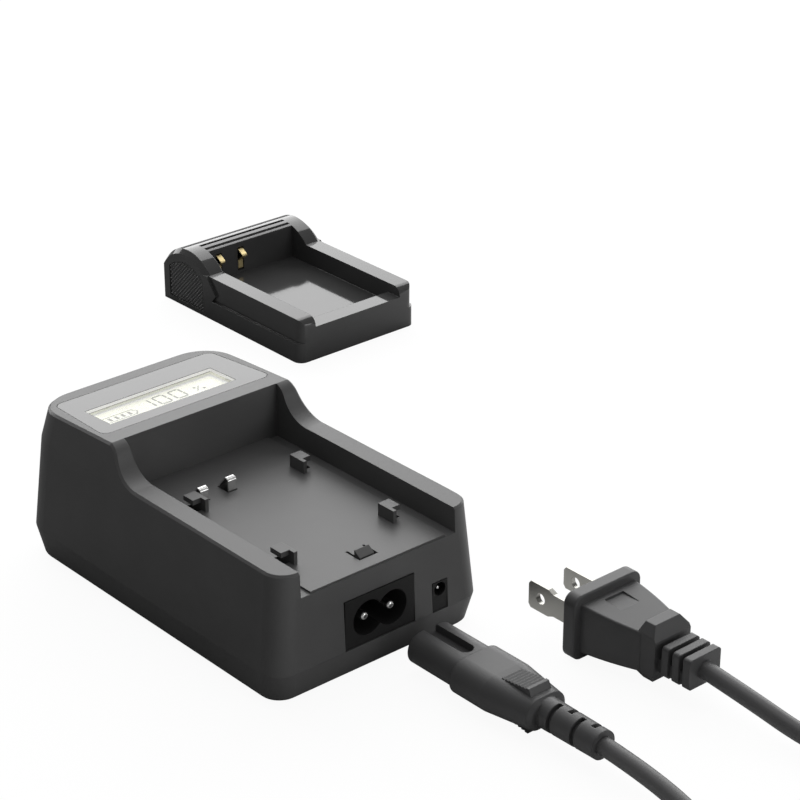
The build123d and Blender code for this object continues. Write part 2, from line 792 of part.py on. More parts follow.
# Cradle body: rails, contact head with arched cheeks, floor and front lip
with BuildPart() as cradle_body:
    extrude(cradle_profile(0, 0), amount=cradle_half_width - cheek_bevel, both=True)
    for side in (-1, 1):
        loft(
            [
                cradle_profile(side * (cradle_half_width - cheek_bevel), 0),
                cradle_profile(side * cradle_half_width, cheek_bevel),
            ],
            ruled=True,
        )
    # The rails stand in from the lower walls on a sloping ledge that starts ahead of the cheeks
    for side in (-1, 1):
        with BuildSketch(cradle_side(side * cradle_half_width)):
            with BuildLine():
                Polyline(
                    (-1, ledge_low_z),
                    (cheek_foot_y, ledge_low_z),
                    (cheek_tip_y, (ledge_low_z + ledge_high_z) / 2 + 1.5),
                    (cradle_arch_y + 0.6, cradle_rail_z + 0.4),
                    (-1, cradle_rail_z + 0.4),
                    close=True,
                )
            make_face()
        extrude(amount=-side * (cradle_half_width - cradle_rail_half_width), mode=Mode.SUBTRACT)
    # Pocket for the battery, between the rails and behind the lip
    with BuildSketch(cradle_plan(cradle_floor_z)):
        with Locations((0, (cradle_lip_y + cradle_wall_y) / 2)):
            Rectangle(2 * cradle_pocket_half_width, cradle_wall_y - cradle_lip_y)
    extrude(amount=20, mode=Mode.SUBTRACT)
    with BuildSketch(cradle_plan(cradle_lip_z)):
        with Locations((0, cradle_lip_y / 2 - 1)):
            Rectangle(2 * cradle_pocket_half_width, cradle_lip_y + 3)
    extrude(amount=20, mode=Mode.SUBTRACT)
    # Two grooves across the head
    for groove_y in groove_ys:
        with BuildSketch(cradle_side(0)):
            with Locations((groove_y, cradle_head_z)):
                Rectangle(groove_width, 2 * groove_depth)
        extrude(amount=cradle_pocket_half_width, both=True, mode=Mode.SUBTRACT)
    # Recessed grip panel in each cheek
    for side in (-1, 1):
        with BuildSketch(cradle_side(side * cradle_half_width)):
            with BuildLine():
                Polyline(
                    (panel_front_y, panel_high_z - 3.2),
                    (panel_front_y, panel_low_z),
                    (panel_rear_y, panel_low_z),
                    (panel_rear_y, panel_high_z - 3.5),
                )
                ThreePointArc(
                    (panel_rear_y, panel_high_z - 3.5),
                    ((panel_front_y + panel_rear_y) / 2 + 1, panel_high_z),
                    (panel_front_y, panel_high_z - 3.2),
                )
            make_face()
        extrude(amount=-side * panel_depth, mode=Mode.SUBTRACT)
    # Hollow underneath, open for the cover
    with BuildSketch(cradle_plan(0)):
        with Locations((0, cradle_length / 2)):
            RectangleRounded(
                2 * (cradle_half_width - cover_rim), cradle_length - 2 * cover_rim, 2.0
            )
    extrude(amount=cradle_floor_z - cradle_shell, mode=Mode.SUBTRACT)
    with BuildSketch(cradle_side(0)):
        with BuildLine():
            Polyline(
                (cradle_wall_y + 2, cradle_floor_z - cradle_shell - 1),
                (cradle_wall_y + 2, cradle_head_z - cradle_shell - 0.2),
                (cradle_head_y + 1.5, cradle_head_z - cradle_shell - 0.2),
                (cradle_head_y + 6, cradle_head_z - cradle_shell - 1.9),
                (cradle_length - cover_rim, cradle_rear_z - 0.8),
                (cradle_length - cover_rim, cradle_floor_z - cradle_shell - 1),
                close=True,
            )
        make_face()
    extrude(amount=cradle_pocket_half_width, both=True, mode=Mode.SUBTRACT)
    # Slots for the gold contacts in the front wall of the head
    for x in contact_xs:
        with BuildSketch(cradle_side(x)):
            with Locations((cradle_wall_y + 1, (gold_slot_low_z + gold_slot_high_z) / 2)):
                Rectangle(2.2, gold_slot_high_z - gold_slot_low_z)
        extrude(amount=gold_width / 2 + contact_clear, both=True, mode=Mode.SUBTRACT)
    # Posts that the cover is screwed to
    with BuildSketch(cradle_plan(cover_thickness)):
        with Locations(*cradle_screws):
            Circle(2.6)
    extrude(until=Until.NEXT)
    with BuildSketch(cradle_plan(cover_thickness)):
        with Locations(*cradle_screws):
            Circle(screw_radius * 0.8)
    extrude(amount=4.0, mode=Mode.SUBTRACT)
cradle_body.part.label = "cradle_body"
export_step(cradle_body.part, "parts/cradle_body.step")

# Cradle cover: keyhole slots that drop over the hooks, a hole for the latch, contact windows
hook_middle_x = (hook_inner_x + hook_outer_x) / 2
with BuildPart() as cradle_cover:
    with BuildSketch(cradle_plan(0)):
        with Locations((0, cradle_length / 2)):
            RectangleRounded(
                2 * (cradle_half_width - cover_rim - cover_clear),
                cradle_length - 2 * (cover_rim + cover_clear),
                1.8,
            )
    extrude(amount=cover_thickness)
    # In the locked place the cradle's front edge lies at the front of the deck
    deck_shift = -front_shoulder_y + cradle_seat_gap
    for upright, lip in hooks:
        narrow = (upright[0] + deck_shift - 0.3, upright[1] + deck_shift + cover_slide)
        wide = (lip[0] + deck_shift + cover_slide - 0.3, lip[1] + deck_shift + cover_slide + 0.3)
        for side in (-1, 1):
            with BuildSketch(cradle_plan(0)):
                with Locations((side * (hook_inner_x + hook_web / 2), sum(narrow) / 2)):
                    Rectangle(hook_web + 0.6, narrow[1] - narrow[0])
                with Locations((side * hook_middle_x, sum(wide) / 2)):
                    Rectangle(hook_outer_x - hook_inner_x + 0.6, wide[1] - wide[0])
            extrude(amount=cover_thickness, mode=Mode.SUBTRACT)
    with BuildSketch(cradle_plan(0)):
        with Locations((0, latch_peak_y + deck_shift + 1.3)):
            Rectangle(2 * tongue_half_width + 0.8, 3.2)
        with Locations(*[(x, contact_middle_y + deck_shift) for x in contact_xs]):
            Rectangle(contact_width + 1.0, contact_length + 1.4)
        with Locations(*cradle_screws):
            Circle(1.2)
    extrude(amount=cover_thickness, mode=Mode.SUBTRACT)
    with BuildSketch(cradle_plan(0)):
        with Locations(*cradle_screws):
            Circle(2.0)
    extrude(amount=0.9, mode=Mode.SUBTRACT)
cradle_cover.part.label = "cradle_cover"
export_step(cradle_cover.part, "parts/cradle_cover.step")

with BuildPart() as cradle_cover_screws:
    with BuildSketch(cradle_plan(0.1)):
        with Locations(*cradle_screws):
            Circle(1.9)
    extrude(amount=0.8)
    with BuildSketch(cradle_plan(0.9)):
        with Locations(*cradle_screws):
            Circle(screw_radius * 0.8)
    extrude(amount=4.5)
cradle_cover_screws.part.label = "cradle_cover_screws"
export_step(cradle_cover_screws.part, "parts/cradle_cover_screws.step")

# Contact pads under the cradle, and the small board that carries them
pad_y = contact_middle_y + deck_shift
with BuildPart() as cradle_pads:
    with BuildSketch(cradle_plan(pad_rise)):
        with Locations(*[(x, pad_y) for x in contact_xs]):
            Rectangle(contact_width, contact_length + 1)
    extrude(amount=pad_thickness)
cradle_pads.part.label = "cradle_pads"
export_step(cradle_pads.part, "parts/cradle_pads.step")

cradle_board_z = pad_rise + pad_thickness
with BuildPart() as cradle_board:
    with BuildSketch(cradle_plan(cradle_board_z)):
        with Locations((contact_middle_x, pad_y + 2)):
            Rectangle(cradle_board_width, cradle_board_length)
    extrude(amount=cradle_board_thickness)
cradle_board.part.label = "cradle_board"
export_step(cradle_board.part, "parts/cradle_board.step")

# Gold contacts: strips bent to a V that stands out of the wall, with a leg down to the board
gold_back_y = cradle_wall_y + 4.6
for label, x in zip(["cradle_contact_right", "cradle_contact_left"], contact_xs):
    with BuildPart() as cradle_contact:
        with BuildSketch(cradle_side(x)):
            with BuildLine() as bend:
                FilletPolyline(
                    (gold_back_y - 1.6, gold_top_z),
                    (cradle_wall_y + 0.3, gold_top_z),
                    (gold_tip_y, gold_tip_z),
                    (cradle_wall_y + 0.3, gold_low_z),
                    (cradle_wall_y + 0.3, gold_foot_z),
                    (gold_back_y, gold_foot_z),
                    (gold_back_y, cradle_board_z + cradle_board_thickness + 0.3),
                    radius=0.4,
                )
                offset(bend.line, amount=gold_strip / 2, side=Side.BOTH)
            make_face()
        extrude(amount=gold_width / 2, both=True)
    cradle_contact.part.label = label
    export_step(cradle_contact.part, f"parts/{label}.step")

# Mains connector, moulded in one with its strain relief; distances run back from its nose
connector_front = Plane(
    origin=(connector_x, connector_y, connector_z), x_dir=(1, 0, 0), z_dir=(0, -1, 0)
)
connector_side = Plane(
    origin=(connector_x, connector_y, connector_z), x_dir=(0, -1, 0), z_dir=(-1, 0, 0)
)


def lead_section(distance, half_width, half_height):
    """Rounded cross-section of the connector at a distance behind its nose."""
    with BuildSketch(connector_front.offset(distance)) as section:
        SlotOverall(2 * half_width, 2 * half_height)
    return section.sketch


with BuildPart() as mains_connector:
    with BuildSketch(connector_front):
        SlotOverall(2 * nose_half_width, 2 * nose_half_height)
    extrude(amount=nose_length + 1)
    with BuildSketch(connector_front.offset(nose_length)):
        SlotOverall(2 * grip_half_width, 2 * grip_half_height)
    extrude(amount=grip_taper_start - nose_length)
    loft(
        [
            lead_section(grip_taper_start, grip_half_width, grip_half_height),
            lead_section(grip_end, grip_end_half_width, grip_end_half_height),
        ]
    )
    chamfer(mains_connector.edges().group_by(Axis.Y)[-1], 0.5)
    chamfer(mains_connector.edges().group_by(Axis.Y)[0], 1.0)
    # Key grooves along the waist, closed by a round end
    for side in (-1, 1):
        with BuildSketch(Plane.XY.offset(connector_z + side * nose_half_height)):
            with Locations((connector_x, connector_y - key_length / 2 + key_width)):
                SlotOverall(key_length + 2 * key_width, key_width, rotation=90)
        extrude(amount=-side * key_depth, mode=Mode.SUBTRACT)
    # Thumb wedge above and below, with fine teeth
    tooth_pitch = (thumb_end - thumb_start) / thumb_teeth
    tooth_rise = (thumb_rise - grip_half_height) / thumb_teeth
    for side in (-1, 1):
        with BuildSketch(connector_side):
            with BuildLine():
                teeth = []
                for tooth in range(thumb_teeth):
                    along = thumb_start + tooth * tooth_pitch
                    height = grip_half_height + tooth * tooth_rise
                    teeth.append((along, side * (height - tooth_depth)))
                    teeth.append((along + 0.2, side * (height + tooth_rise)))
                Polyline(
                    (thumb_start, 0),
                    *teeth,
                    (thumb_end, side * thumb_rise),
                    (thumb_end + 1.2, side * grip_end_half_height * 0.8),
                    (thumb_end + 1.2, 0),
                    close=True,
                )
            make_face()
        extrude(amount=thumb_half_width, both=True)
    # Strain relief with staggered slots round a core
    with BuildSketch(connector_front.offset(grip_end - 0.5)):
        Circle(relief_start_radius)
    with BuildSketch(connector_front.offset(relief_end)):
        Circle(relief_end_radius)
    loft()
    for side, places in ((-1, relief_slots_left), (1, relief_slots_right)):
        for place in places:
            with BuildSketch(connector_front.offset(place - relief_slot / 2)):
                with Locations((side * (relief_start_radius - 0.6), 0)):
                    Rectangle(2 * relief_start_radius, 4 * relief_start_radius)
                Circle(relief_core_radius, mode=Mode.SUBTRACT)
            extrude(amount=relief_slot, mode=Mode.SUBTRACT)
    # Two bores that take the inlet's pins
    with BuildSketch(connector_front):
        with Locations((-pin_pitch / 2, 0), (pin_pitch / 2, 0)):
            Circle(bore_radius + 0.4)
    extrude(amount=bore_depth, mode=Mode.SUBTRACT)
mains_connector.part.label = "mains_connector"
export_step(mains_connector.part, "parts/mains_connector.step")

# Spring sleeves in the connector's bores
with BuildPart() as connector_sleeves:
    with BuildSketch(connector_front.offset(1.0)):
        with Locations((-pin_pitch / 2, 0), (pin_pitch / 2, 0)):
            Circle(bore_radius + 0.4)
            Circle(bore_radius, mode=Mode.SUBTRACT)
    extrude(amount=bore_depth - 1.0)
connector_sleeves.part.label = "connector_sleeves"
export_step(connector_sleeves.part, "parts/connector_sleeves.step")

# Mains plug, moulded in one with its ribs; distances run back from the face of its flange
plug_front = Plane(origin=(plug_x, plug_y, plug_z), x_dir=(1, 0, 0), z_dir=(0, -1, 0))
plug_side = Plane(origin=(plug_x, plug_y, plug_z), x_dir=(0, -1, 0), z_dir=(-1, 0, 0))


def blade_shape(width):
    """Side view of a blade: its tip, and a neck of the standard width behind it."""
    with BuildSketch(plug_side) as blade:
        with BuildLine():
            Polyline(
                (-blade_length, -width / 2 + 1.0),
                (-blade_length + 0.8, -width / 2),
                (-blade_hole_inset - 6.0, -width / 2),
                (-blade_hole_inset - 4.0, -blade_width / 2),
                (blade_root, -blade_width / 2),
                (blade_root, blade_width / 2),
                (-blade_hole_inset - 4.0, blade_width / 2),
                (-blade_hole_inset - 6.0, width / 2),
                (-blade_length + 0.8, width / 2),
                (-blade_length, width / 2 - 1.0),
                close=True,
            )
        make_face()
        with Locations((-blade_length + blade_hole_inset, 0)):
            Circle(blade_hole_radius, mode=Mode.SUBTRACT)
    return blade.sketch


with BuildPart() as mains_plug:
    with BuildSketch(plug_front):
        RectangleRounded(2 * flange_half_width, 2 * flange_half_height, flange_corner)
    extrude(amount=flange_thickness)
    fillet(mains_plug.faces().filter_by(Axis.Y).edges(), 0.5)
    with BuildPart(mode=Mode.PRIVATE) as plug_grip:
        with BuildSketch(Plane(origin=(plug_x, plug_y, plug_z))):
            with BuildLine():
                flank = ThreePointArc(
                    (plug_front_half_width, -flange_thickness + 0.5),
                    (plug_mid_half_width, -13.5),
                    (plug_rear_half_width, -plug_body_end),
                )
                Line(flank @ 1, (-plug_rear_half_width, -plug_body_end))
                flank_left = ThreePointArc(
                    (-plug_rear_half_width, -plug_body_end),
                    (-plug_mid_half_width, -13.5),
                    (-plug_front_half_width, -flange_thickness + 0.5),
                )
                Line(flank_left @ 1, flank @ 0)
            make_face()
        extrude(amount=10, both=True)
        with BuildSketch(plug_side):
            with BuildLine():
                Polyline(
                    (0, -plug_front_half_height),
                    (plug_body_end + 1, -plug_rear_half_height),
                    (plug_body_end + 1, plug_rear_half_height),
                    (0, plug_front_half_height),
                    close=True,
                )
            make_face()
        extrude(amount=20, both=True, mode=Mode.INTERSECT)
        fillet(plug_grip.edges().filter_by(lambda e: abs(e.tangent_at(0.5).Z) < 0.5
                                           and abs(e.tangent_at(0.5).X) < 0.7), 0.6)
    add(plug_grip.part)
    with BuildPart(mode=Mode.PRIVATE) as plug_collar:
        with BuildSketch(plug_side):
            with BuildLine():
                Polyline(
                    (collar_front - 0.8, -plug_rear_half_height),
                    (collar_front, -collar_half_height),
                    (collar_ridge, -collar_half_height),
                    (collar_end, -collar_end_half_height),
                    (collar_end, collar_end_half_height),
                    (collar_ridge, collar_half_height),
                    (collar_front, collar_half_height),
                    (collar_front - 0.8, plug_rear_half_height),
                    close=True,
                )
            make_face()
        extrude(amount=collar_half_width, both=True)
        with BuildSketch(plug_front):
            with BuildLine():
                Polyline(
                    (-collar_top_half_width, collar_half_height),
                    (-collar_half_width, plug_rear_half_height),
                    (-collar_half_width, -plug_rear_half_height),
                    (-collar_top_half_width, -collar_half_height),
                    (collar_top_half_width, -collar_half_height),
                    (collar_half_width, -plug_rear_half_height),
                    (collar_half_width, plug_rear_half_height),
                    (collar_top_half_width, collar_half_height),
                    close=True,
                )
            make_face()
        extrude(amount=40, mode=Mode.INTERSECT)
    add(plug_collar.part)
    # Core of the strain relief, then its ribs
    rib_end = rib_first + (rib_count - 1) * rib_pitch + rib_thickness
    with BuildSketch(plug_front.offset(collar_end)):
        Circle(3.1)
        with Locations((0, -rib_half_height / 2)):
            Rectangle(2 * rib_half_width - 1.6, rib_half_height - 0.8)
    extrude(amount=rib_end - collar_end)
    for rib in range(rib_count):
        with BuildSketch(plug_front.offset(rib_first + rib * rib_pitch)):
            RectangleRounded(2 * rib_half_width, 2 * rib_half_height, 1.0)
        extrude(amount=rib_thickness)
    # Shallow panel on the top of the grip, and the slots that hold the blades
    with BuildSketch(Plane(origin=(plug_x, plug_y, plug_z + plug_front_half_height))):
        with Locations((0, -9.0)):
            Rectangle(6.7, 5.9)
    extrude(amount=-1.0, mode=Mode.SUBTRACT)
    with BuildSketch(plug_front):
        with Locations((-blade_pitch / 2, 0), (blade_pitch / 2, 0)):
            Rectangle(blade_thickness, blade_width)
    extrude(amount=blade_root, mode=Mode.SUBTRACT)
mains_plug.part.label = "mains_plug"
export_step(mains_plug.part, "parts/mains_plug.step")

# The neutral blade is wide at its tip, so that the plug goes in one way round
for label, side, width in (("plug_blade_wide", -1, wide_blade_width), ("plug_blade_narrow", 1, blade_width)):
    with BuildPart() as plug_blade:
        extrude(blade_shape(width), amount=blade_thickness / 2, both=True)
    blade = plug_blade.part.moved(Location((side * blade_pitch / 2, 0, 0)))
    blade.label = label
    export_step(blade, f"parts/{label}.step")


def route_radii(points):
    """Largest arcs that the runs of a route allow, one for each corner."""
    radii = []
    for before, corner, after in zip(points, points[1:], points[2:]):
        run_in = Vector(*corner) - Vector(*before)
        run_out = Vector(*after) - Vector(*corner)
        turn = math.radians(run_in.get_angle(run_out))
        radii.append(0.45 * min(run_in.length, run_out.length) / math.tan(turn / 2))
    return radii


def cord_tube(points):
    """A stretch of cord: straight runs joined by tangent arcs."""
    radii = route_radii(points)
    print("cord radii", [round(radius, 1) for radius in radii])
    with BuildPart() as tube:
        with BuildLine() as route:
            FilletPolyline(*points, radius=radii)
        with BuildSketch(Plane(origin=points[0], z_dir=route.line % 0)):
            Circle(cord_diameter / 2)
        sweep()
    length = route.wires()[0].length
    print("cord length", round(length, 1), "volume ratio",
          round(tube.part.volume / (math.pi * cord_diameter**2 / 4 * length), 4))
    return tube.part


# Lead from the connector to the coil
connector_cord = cord_tube(connector_route)
connector_cord.label = "cord_connector_end"
export_step(connector_cord, "parts/cord_connector_end.step")

# Lead from the plug to the coil
plug_cord = cord_tube(plug_route)
plug_cord.label = "cord_plug_end"
export_step(plug_cord, "parts/cord_plug_end.step")

# Outer shape of the coil
with BuildPart() as cord_coil:
    with BuildSketch(Plane(origin=(coil_x, coil_y, 0))):
        Circle(coil_outer_radius)
        Circle(coil_inner_radius, mode=Mode.SUBTRACT)
    extrude(amount=coil_height)
    chamfer(cord_coil.faces().filter_by(Axis.Z).edges(), 1.6)
cord_coil.part.label = "cord_coil"
export_step(cord_coil.part, "parts/cord_coil.step")
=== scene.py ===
"""Camera battery charger: display base, battery cradle beside it and detachable mains lead.

Laid out as a Blender add-on and run as a script. Metres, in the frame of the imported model:
X across the base, +Y towards the display, +Z up, the origin under the middle of the base.
Lengths of this object's own shapes are given in millimetres.
"""

import json
import math

import bpy
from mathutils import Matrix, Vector


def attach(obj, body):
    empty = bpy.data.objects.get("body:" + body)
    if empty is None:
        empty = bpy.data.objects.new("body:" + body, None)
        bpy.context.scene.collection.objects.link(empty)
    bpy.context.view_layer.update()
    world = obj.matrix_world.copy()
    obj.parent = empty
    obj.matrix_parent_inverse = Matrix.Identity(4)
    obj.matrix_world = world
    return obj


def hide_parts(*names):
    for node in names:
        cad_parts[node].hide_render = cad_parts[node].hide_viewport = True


bl_info = {
    "name": "Camera Battery Charger",
    "version": (1, 0, 0),
    "blender": (4, 5, 0),
    "location": "3D View > Sidebar > Charger",
    "description": "Builds the finishes, fine detail, lead and stage of a camera battery charger",
    "category": "Object",
}

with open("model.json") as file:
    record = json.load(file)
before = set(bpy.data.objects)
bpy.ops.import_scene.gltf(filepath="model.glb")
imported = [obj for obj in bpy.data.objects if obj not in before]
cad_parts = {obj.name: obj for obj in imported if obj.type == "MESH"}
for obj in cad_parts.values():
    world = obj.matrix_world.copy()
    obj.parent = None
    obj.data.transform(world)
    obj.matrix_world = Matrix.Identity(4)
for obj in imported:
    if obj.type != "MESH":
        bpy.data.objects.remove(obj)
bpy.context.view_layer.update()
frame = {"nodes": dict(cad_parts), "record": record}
MM = 0.001


# Helpers


def vec(x, y, z):
    """A point given in millimetres, in metres."""
    return Vector((x, y, z)) * MM


def clear_selection():
    """Nothing selected, object mode."""
    if bpy.context.object and bpy.context.object.mode != "OBJECT":
        bpy.ops.object.mode_set(mode="OBJECT")
    bpy.ops.object.select_all(action="DESELECT")


def select_only(*objects):
    """These objects selected, the first one active."""
    clear_selection()
    for obj in objects:
        obj.select_set(True)
    bpy.context.view_layer.objects.active = objects[0]


def mesh_object(name, points, faces):
    """A mesh in the scene with these points, in metres, and faces."""
    mesh = bpy.data.meshes.new(name)
    mesh.from_pydata(points, [], faces)
    made = bpy.data.objects.new(name, mesh)
    bpy.context.scene.collection.objects.link(made)
    return made


def join(pieces, name):
    """Several meshes made into one object with that name."""
    select_only(*pieces)
    if len(pieces) > 1:
        bpy.ops.object.join()
    joined = bpy.context.object
    joined.name = name
    joined.data.name = name
    return joined


def finish_mesh(obj, material, body="charger"):
    """Material, place in the mesh, and body of a piece that is done."""
    obj.data.materials.clear()
    obj.data.materials.append(material)
    select_only(obj)
    bpy.ops.object.transform_apply(location=True, rotation=True, scale=True)
    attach(obj, body)


# Materials


def add_node(tree, kind, **inputs):
    """A node with its sockets set by name, where an underscore stands for a space."""
    node = tree.nodes.new(kind)
    for name, value in inputs.items():
        node.inputs[name.replace("_", " ")].default_value = value
    return node


def new_material(name):
    """A node material, its tree and its Principled node."""
    material = bpy.data.materials.new(name)
    material.use_nodes = True
    tree = material.node_tree
    return material, tree, tree.nodes["Principled BSDF"]


def grain(tree, principled, scale, depth, roughness, edge):
    """Fine moulding grain with softly broken edges, and a small spread of roughness.

    Gives the broad noise that the roughness follows.
    """
    spread = 0.03
    place = add_node(tree, "ShaderNodeTexCoord")
    noise = add_node(tree, "ShaderNodeTexNoise", Scale=scale, Detail=3.0)
    tree.links.new(place.outputs["Object"], noise.inputs["Vector"])
    bump = add_node(tree, "ShaderNodeBump", Strength=0.35, Distance=depth)
    tree.links.new(noise.outputs["Fac"], bump.inputs["Height"])
    if edge > 0:
        bevel = add_node(tree, "ShaderNodeBevel", Radius=edge)
        bevel.samples = 4
        tree.links.new(bevel.outputs["Normal"], bump.inputs["Normal"])
    tree.links.new(bump.outputs["Normal"], principled.inputs["Normal"])
    broad = add_node(tree, "ShaderNodeTexNoise", Scale=60.0, Detail=2.0)
    tree.links.new(place.outputs["Object"], broad.inputs["Vector"])
    rough = add_node(
        tree, "ShaderNodeMapRange", To_Min=roughness - spread, To_Max=roughness + spread
    )
    tree.links.new(broad.outputs["Fac"], rough.inputs["Value"])
    tree.links.new(rough.outputs["Result"], principled.inputs["Roughness"])
    return broad


def tint(tree, principled, source, low, high):
    """Colour between two near shades, from a noise."""
    ramp = tree.nodes.new("ShaderNodeValToRGB")
    ramp.color_ramp.elements[0].position = 0.3
    ramp.color_ramp.elements[1].position = 0.7
    ramp.color_ramp.elements[0].color = (*low, 1.0)
    ramp.color_ramp.elements[1].color = (*high, 1.0)
    tree.links.new(source.outputs["Fac"], ramp.inputs["Fac"])
    tree.links.new(ramp.outputs["Color"], principled.inputs["Base Color"])


def plastic(name, colour, roughness, gloss, grain_size=0.0004, depth=0.00002, edge=0.0002):
    """Moulded plastic; size and depth of its grain and radius of its edges in metres."""
    material, tree, principled = new_material(name)
    broad = grain(tree, principled, 1.0 / grain_size, depth, roughness, edge)
    low = tuple(value * 0.94 for value in colour)
    high = tuple(value * 1.06 for value in colour)
    tint(tree, principled, broad, low, high)
    principled.inputs["Specular IOR Level"].default_value = gloss
    return material


def metal(name, colour, roughness):
    """Plated metal with a very fine, shallow grain."""
    material, tree, principled = new_material(name)
    broad = grain(
        tree, principled, scale=2500.0, depth=0.0000005, roughness=roughness, edge=0.0001
    )
    low = tuple(value * 0.93 for value in colour)
    high = tuple(min(1.0, value * 1.04) for value in colour)
    tint(tree, principled, broad, low, high)
    principled.inputs["Metallic"].default_value = 1.0
    return material


def glow(material, colour, strength):
    """Painted light: a glow that makes a pale surface look brightly lit, though it is no lamp."""
    principled = material.node_tree.nodes["Principled BSDF"]
    principled.inputs["Emission Color"].default_value = (*colour, 1.0)
    principled.inputs["Emission Strength"].default_value = strength


def clear_window():
    """The display's clear window."""
    material, tree, principled = new_material("Clear window")
    principled.inputs["Base Color"].default_value = (0.9, 0.92, 0.9, 1.0)
    principled.inputs["Roughness"].default_value = 0.05
    principled.inputs["Alpha"].default_value = 0.12
    return material


def make_materials(colours):
    """All the finishes of the charger, by the slots of its record."""
    housing, cradle = tuple(colours.housing), tuple(colours.cradle)
    lead, cord = tuple(colours.lead), tuple(colours.cord)
    display = tuple(colours.display)
    made = {
        "case_plastic": plastic("Housing plastic", housing, 0.42, 0.35),
        "plate_plastic": plastic("Cradle plastic", cradle, 0.08, 0.5, depth=0.0000004),
        "lead_plastic": plastic("Lead vinyl moulding", lead, 0.42, 0.35, 0.0006, 0.00001, 0.0004),
        "inlet_plastic": plastic(
            "Socket plastic", (0.02, 0.02, 0.02), 0.5, 0.2, 0.0004, 0.00001
        ),
        "display_face": plastic(
            "Liquid crystal face", display, 0.35, 0.3, 0.0006, 0.000004, 0.0
        ),
        "board_green": plastic(
            "Solder resist", (0.02, 0.12, 0.05), 0.3, 0.5, 0.002, 0.00001, 0.0
        ),
        "ferrite": plastic("Ferrite", (0.05, 0.05, 0.055), 0.6, 0.3, 0.0008, 0.00003),
        "winding_tape": plastic(
            "Winding tape", (0.72, 0.5, 0.06), 0.3, 0.5, 0.002, 0.00001, 0.0004
        ),
        "can_sleeve": plastic(
            "Capacitor sleeve", (0.02, 0.03, 0.1), 0.25, 0.5, 0.001, 0.000006, 0.0003
        ),
        "fuse_case": plastic(
            "Fuse body", (0.1, 0.05, 0.03), 0.4, 0.5, 0.001, 0.000006, 0.0003
        ),
        "spring_metal": metal("Nickel plate", (0.86, 0.86, 0.85), 0.26),
        "gold_metal": metal("Gold plate", (1.0, 0.80, 0.42), 0.34),
        "blade_metal": metal("Blade metal", (0.40, 0.395, 0.37), 0.32),
        "screw_steel": metal("Screw steel", (0.35, 0.35, 0.36), 0.35),
        "foot_rubber": plastic(
            "Foot rubber", (0.015, 0.015, 0.015), 0.75, 0.2, 0.0005, 0.00002, 0.0002
        ),
        "cord_rubber": plastic("Cord vinyl", cord, 0.4, 0.35, 0.0008, 0.00001, 0.0),
        "window_clear": clear_window(),
    }
    # Painted light: the display's face glows so that it looks brightly lit under its window.
    glow(made["display_face"], display, 0.25)
    return made


FINISHES = {}


# Settings


class ChargerColours(bpy.types.PropertyGroup):
    """Colours of the charger's plastics, linear."""

    housing: bpy.props.FloatVectorProperty(
        name="Housing", description="Plastic of the base", size=3, subtype="COLOR",
        default=(0.10, 0.10, 0.10), min=0.0, max=1.0,
    )
    cradle: bpy.props.FloatVectorProperty(
        name="Cradle", description="Plastic of the battery cradle", size=3, subtype="COLOR",
        default=(0.062, 0.062, 0.062), min=0.0, max=1.0,
    )
    lead: bpy.props.FloatVectorProperty(
        name="Lead mouldings", description="Vinyl of the connector and the plug", size=3,
        subtype="COLOR", default=(0.075, 0.075, 0.076), min=0.0, max=1.0,
    )
    cord: bpy.props.FloatVectorProperty(
        name="Cord", description="Vinyl sleeve of the cord", size=3, subtype="COLOR",
        default=(0.105, 0.105, 0.106), min=0.0, max=1.0,
    )
    display: bpy.props.FloatVectorProperty(
        name="Display", description="Lit face of the display", size=3, subtype="COLOR",
        default=(0.87, 0.87, 0.81), min=0.0, max=1.0,
    )


class ChargerSizes(bpy.types.PropertyGroup):
    """Sizes of the fine detail, and of the lead."""

    cord_diameter: bpy.props.FloatProperty(
        name="Cord diameter", description="Outside of the cord's sleeve",
        default=0.0048, min=0.002, max=0.01, unit="LENGTH",
    )
    cord_length: bpy.props.FloatProperty(
        name="Cord length", description="Cord between the connector and the plug",
        default=1.0, min=0.3, max=3.0, unit="LENGTH",
    )
    knurl_pitch: bpy.props.FloatProperty(
        name="Knurl pitch", description="Distance between the pyramids of the cradle's grips",
        default=0.0014, min=0.0008, max=0.004, unit="LENGTH",
    )
    knurl_height: bpy.props.FloatProperty(
        name="Knurl height", description="Height of each pyramid",
        default=0.0005, min=0.0001, max=0.002, unit="LENGTH",
    )
    cradle_corner: bpy.props.FloatProperty(
        name="Cradle corner", description="Radius of the cradle's front corners and rail noses",
        default=0.003, min=0.0005, max=0.0035, unit="LENGTH",
    )
    mark_height: bpy.props.FloatProperty(
        name="Figure height", description="Height of the display's figures",
        default=0.0054, min=0.002, max=0.01, unit="LENGTH",
    )


# Stage

CAMERA_LENS = 114.34
CAMERA_PLACE = (-0.358515, -0.475057, 0.343776)
CAMERA_TILT = 64.056
CAMERA_TURN = -40.944
# Lamps: name, place, the point that each faces, size, and power in watts
LAMPS = (
    ("Back softbox", (0.75, 0.92, 0.70), (0.02, 0.0, 0.03), (2.6, 1.3), 33.0),
    ("Overhead softbox", (0.05, 0.1, 1.3), (0.0, 0.0, 0.0), (1.0, 1.0), 3.5),
    ("Front softbox", (0.5, -1.3, 0.6), (0.0, -0.05, 0.02), (0.8, 0.8), 2.0),
    ("Low front softbox", (0.28, -0.85, 0.12), (0.0, -0.05, 0.01), (0.5, 0.2), 0.9),
)
WHITE = (1.0, 1.0, 1.0, 1.0)
SURROUND_LIGHT = 0.16
FLOOR_SIZE = 6.0
# The floor throws back less light on the shaded side of the base: X minus Y there, and albedo
BOUNCE_PLACES = (-0.02, 0.10)
BOUNCE_SHADES = (0.24, 0.75)
